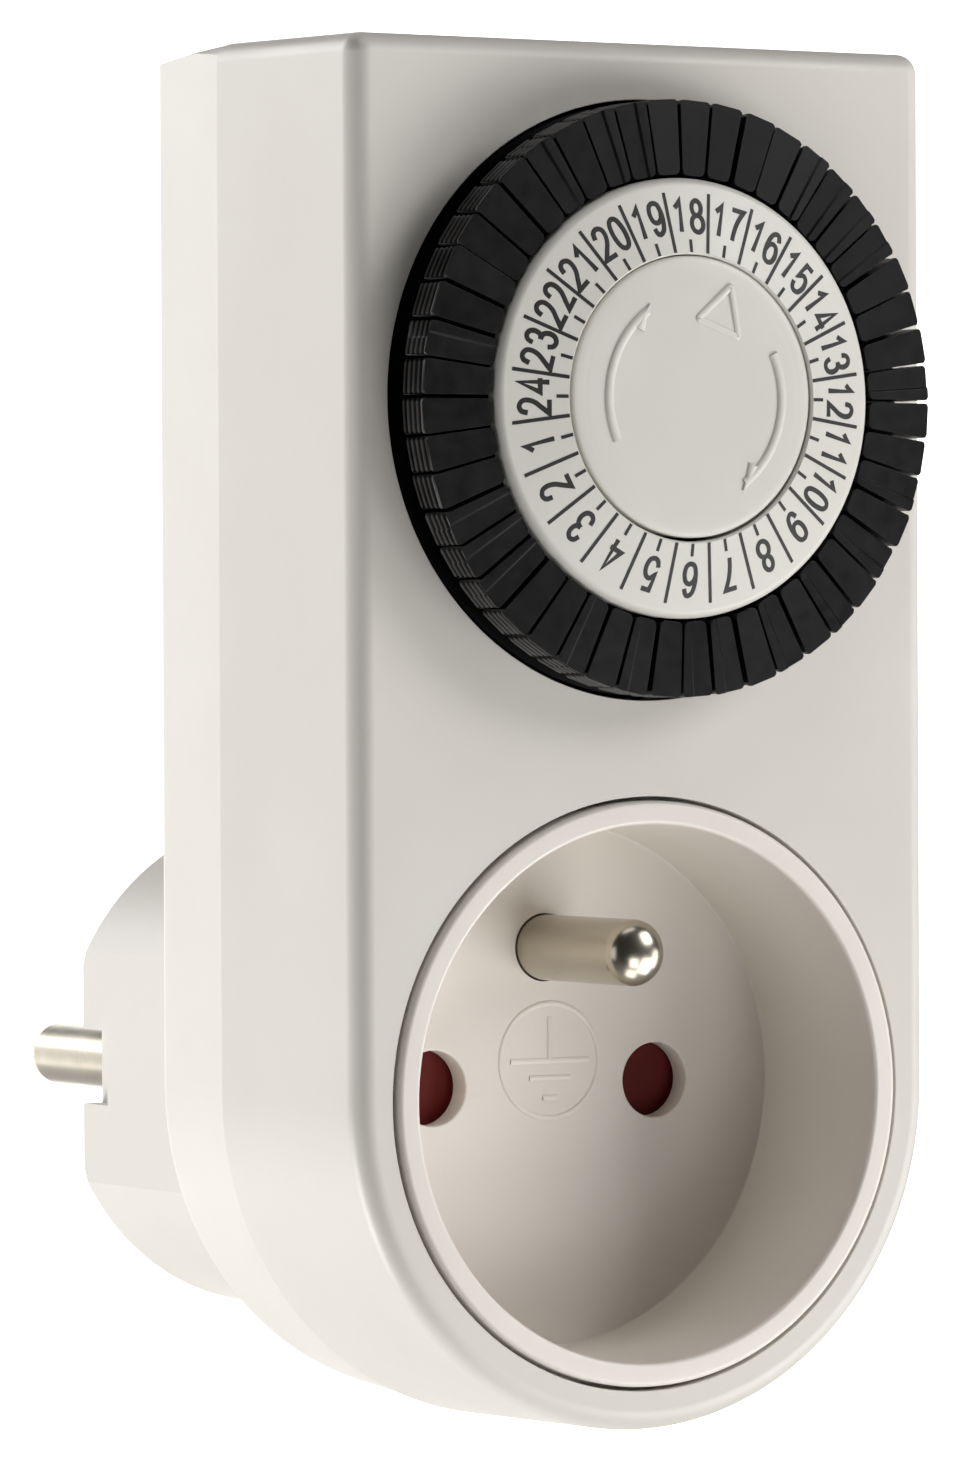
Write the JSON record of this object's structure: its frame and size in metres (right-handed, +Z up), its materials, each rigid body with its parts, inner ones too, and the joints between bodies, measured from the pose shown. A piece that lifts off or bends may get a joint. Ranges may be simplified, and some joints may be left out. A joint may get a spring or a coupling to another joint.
{
  "type": "plug in timer switch",
  "caption": "Off-white plug in timer with a turning day dial of black push segments, an earthed two pin socket in front and a round two pin plug behind.",
  "frame": {"origin": "centre of the plug boss's end face, midway between the two plug pins", "axes": "+Y is the way the plug pins point, +Z is up along the case, +X is to the right seen from the front (the dial faces -Y)"},
  "size_m": [0.049, 0.0798, 0.0999],
  "materials": {
    "case": "satin moulded ABS",
    "insert": "satin moulded",
    "works": "natural acetal",
    "nickel": "nickel plated brass, drawn",
    "brass": "stamped strip",
    "steel": "zinc plated",
    "copper": "enamelled copper winding",
    "magnet": "ferrite",
    "lead": "insulated lead",
    "wheel": "black moulded",
    "segment": "charcoal moulded",
    "ring": "white moulded",
    "red": "brick red moulded"
  },
  "bodies": {
    "root": {"rear_cover": "case", "front_cover": "case", "socket_insert": "insert", "contact_carrier": "works", "earth_pin": "nickel", "earth_strip": "brass", "earth_clips": "brass", "plug_pin_left": "nickel", "plug_pin_right": "nickel", "line_contact": "brass", "neutral_contact": "brass", "line_strip": "brass", "hub_cap": "ring", "dial_spindle": "steel", "gearbox_plate": "works", "motor_can": "steel", "motor_coil": "copper", "motor_leads": "lead", "gear_axles": "steel", "lever_pin": "steel", "switch_body": "works", "fixed_contact": "brass", "shutter_spring": "steel", "case_screws": "steel", "plate_screws": "steel"},
    "dial": {"dial_wheel": "wheel", "number_ring": "ring"},
    "drive": {"drive_gear": "works"},
    "reduction": {"reduction_gear": "works"},
    "rotor": {"motor_rotor": "magnet"},
    "lever": {"cam_lever": "red"},
    "contact": {"moving_contact": "brass"},
    "shutter": {"shutter": "red"},
    "hour_01": {"segments_hour_01": "segment"},
    "hour_02": {"segments_hour_02": "segment"},
    "hour_03": {"segments_hour_03": "segment"},
    "hour_04": {"segments_hour_04": "segment"},
    "hour_05": {"segments_hour_05": "segment"},
    "hour_06": {"segments_hour_06": "segment"},
    "hour_07": {"segments_hour_07": "segment"},
    "hour_08": {"segments_hour_08": "segment"},
    "hour_09": {"segments_hour_09": "segment"},
    "hour_10": {"segments_hour_10": "segment"},
    "hour_11": {"segments_hour_11": "segment"},
    "hour_12": {"segments_hour_12": "segment"},
    "hour_13": {"segments_hour_13": "segment"},
    "hour_14": {"segments_hour_14": "segment"},
    "hour_15": {"segments_hour_15": "segment"},
    "hour_16": {"segments_hour_16": "segment"},
    "hour_17": {"segments_hour_17": "segment"},
    "hour_18": {"segments_hour_18": "segment"},
    "hour_19": {"segments_hour_19": "segment"},
    "hour_20": {"segments_hour_20": "segment"},
    "hour_21": {"segments_hour_21": "segment"},
    "hour_22": {"segments_hour_22": "segment"},
    "hour_23": {"segments_hour_23": "segment"},
    "hour_24": {"segments_hour_24": "segment"}
  },
  "joints": [
    {"name": "dial_turn", "type": "hinge", "parent": "root", "child": "dial", "pos_m": [0, 0, 0.0495], "axis": [0, 1, 0], "continuous": true},
    {"name": "drive_turn", "type": "hinge", "parent": "root", "child": "drive", "pos_m": [0.00725, 0, 0.03694], "axis": [0, 1, 0], "continuous": true},
    {"name": "reduction_turn", "type": "hinge", "parent": "root", "child": "reduction", "pos_m": [-0.00525, 0, 0.03694], "axis": [0, 1, 0], "continuous": true},
    {"name": "rotor_turn", "type": "hinge", "parent": "root", "child": "rotor", "pos_m": [-0.00823, 0, 0.04805], "axis": [0, 1, 0], "continuous": true},
    {"name": "lever_swing", "type": "hinge", "parent": "root", "child": "lever", "pos_m": [0.013, -0.04575, 0.052], "axis": [-1, 0, 0], "range_deg": [0, 8], "stiffness_Nm_per_rad": 0.02, "springref_deg": -5.73},
    {"name": "contact_swing", "type": "hinge", "parent": "root", "child": "contact", "pos_m": [0.013, -0.0373, 0.0515], "axis": [-1, 0, 0], "range_deg": [0, 8], "stiffness_Nm_per_rad": 0.01, "springref_deg": -5.73},
    {"name": "shutter_slide", "type": "slide", "parent": "root", "child": "shutter", "axis": [0, 0, -1], "range_m": [0, 0.0066], "stiffness_N_per_m": 60, "springref_m": -0.003, "deforming": ["shutter_spring"]},
    {"name": "hour_01_push", "type": "slide", "parent": "dial", "child": "hour_01", "axis": [0, 1, 0], "range_m": [0, 0.0018]},
    {"name": "hour_02_push", "type": "slide", "parent": "dial", "child": "hour_02", "axis": [0, 1, 0], "range_m": [0, 0.0018]},
    {"name": "hour_03_push", "type": "slide", "parent": "dial", "child": "hour_03", "axis": [0, 1, 0], "range_m": [0, 0.0018]},
    {"name": "hour_04_push", "type": "slide", "parent": "dial", "child": "hour_04", "axis": [0, 1, 0], "range_m": [0, 0.0018]},
    {"name": "hour_05_push", "type": "slide", "parent": "dial", "child": "hour_05", "axis": [0, 1, 0], "range_m": [0, 0.0018]},
    {"name": "hour_06_push", "type": "slide", "parent": "dial", "child": "hour_06", "axis": [0, 1, 0], "range_m": [0, 0.0018]},
    {"name": "hour_07_push", "type": "slide", "parent": "dial", "child": "hour_07", "axis": [0, 1, 0], "range_m": [0, 0.0018]},
    {"name": "hour_08_push", "type": "slide", "parent": "dial", "child": "hour_08", "axis": [0, 1, 0], "range_m": [0, 0.0018]},
    {"name": "hour_09_push", "type": "slide", "parent": "dial", "child": "hour_09", "axis": [0, 1, 0], "range_m": [0, 0.0018]},
    {"name": "hour_10_push", "type": "slide", "parent": "dial", "child": "hour_10", "axis": [0, 1, 0], "range_m": [0, 0.0018]},
    {"name": "hour_11_push", "type": "slide", "parent": "dial", "child": "hour_11", "axis": [0, 1, 0], "range_m": [0, 0.0018]},
    {"name": "hour_12_push", "type": "slide", "parent": "dial", "child": "hour_12", "axis": [0, 1, 0], "range_m": [0, 0.0018]},
    {"name": "hour_13_push", "type": "slide", "parent": "dial", "child": "hour_13", "axis": [0, 1, 0], "range_m": [0, 0.0018]},
    {"name": "hour_14_push", "type": "slide", "parent": "dial", "child": "hour_14", "axis": [0, 1, 0], "range_m": [0, 0.0018]},
    {"name": "hour_15_push", "type": "slide", "parent": "dial", "child": "hour_15", "axis": [0, 1, 0], "range_m": [0, 0.0018]},
    {"name": "hour_16_push", "type": "slide", "parent": "dial", "child": "hour_16", "axis": [0, 1, 0], "range_m": [0, 0.0018]},
    {"name": "hour_17_push", "type": "slide", "parent": "dial", "child": "hour_17", "axis": [0, 1, 0], "range_m": [0, 0.0018]},
    {"name": "hour_18_push", "type": "slide", "parent": "dial", "child": "hour_18", "axis": [0, 1, 0], "range_m": [0, 0.0018]},
    {"name": "hour_19_push", "type": "slide", "parent": "dial", "child": "hour_19", "axis": [0, 1, 0], "range_m": [0, 0.0018]},
    {"name": "hour_20_push", "type": "slide", "parent": "dial", "child": "hour_20", "axis": [0, 1, 0], "range_m": [0, 0.0018]},
    {"name": "hour_21_push", "type": "slide", "parent": "dial", "child": "hour_21", "axis": [0, 1, 0], "range_m": [0, 0.0018]},
    {"name": "hour_22_push", "type": "slide", "parent": "dial", "child": "hour_22", "axis": [0, 1, 0], "range_m": [0, 0.0018]},
    {"name": "hour_23_push", "type": "slide", "parent": "dial", "child": "hour_23", "axis": [0, 1, 0], "range_m": [0, 0.0018]},
    {"name": "hour_24_push", "type": "slide", "parent": "dial", "child": "hour_24", "axis": [0, 1, 0], "range_m": [0, 0.0018]}
  ],
  "couplings": [
    {"joint": "drive_turn", "follows": "dial_turn", "ratio": -4.8},
    {"joint": "reduction_turn", "follows": "dial_turn", "ratio": 19.2},
    {"joint": "rotor_turn", "follows": "dial_turn", "ratio": -69.12},
    {"joint": "contact_swing", "follows": "lever_swing", "ratio": 1}
  ]
}
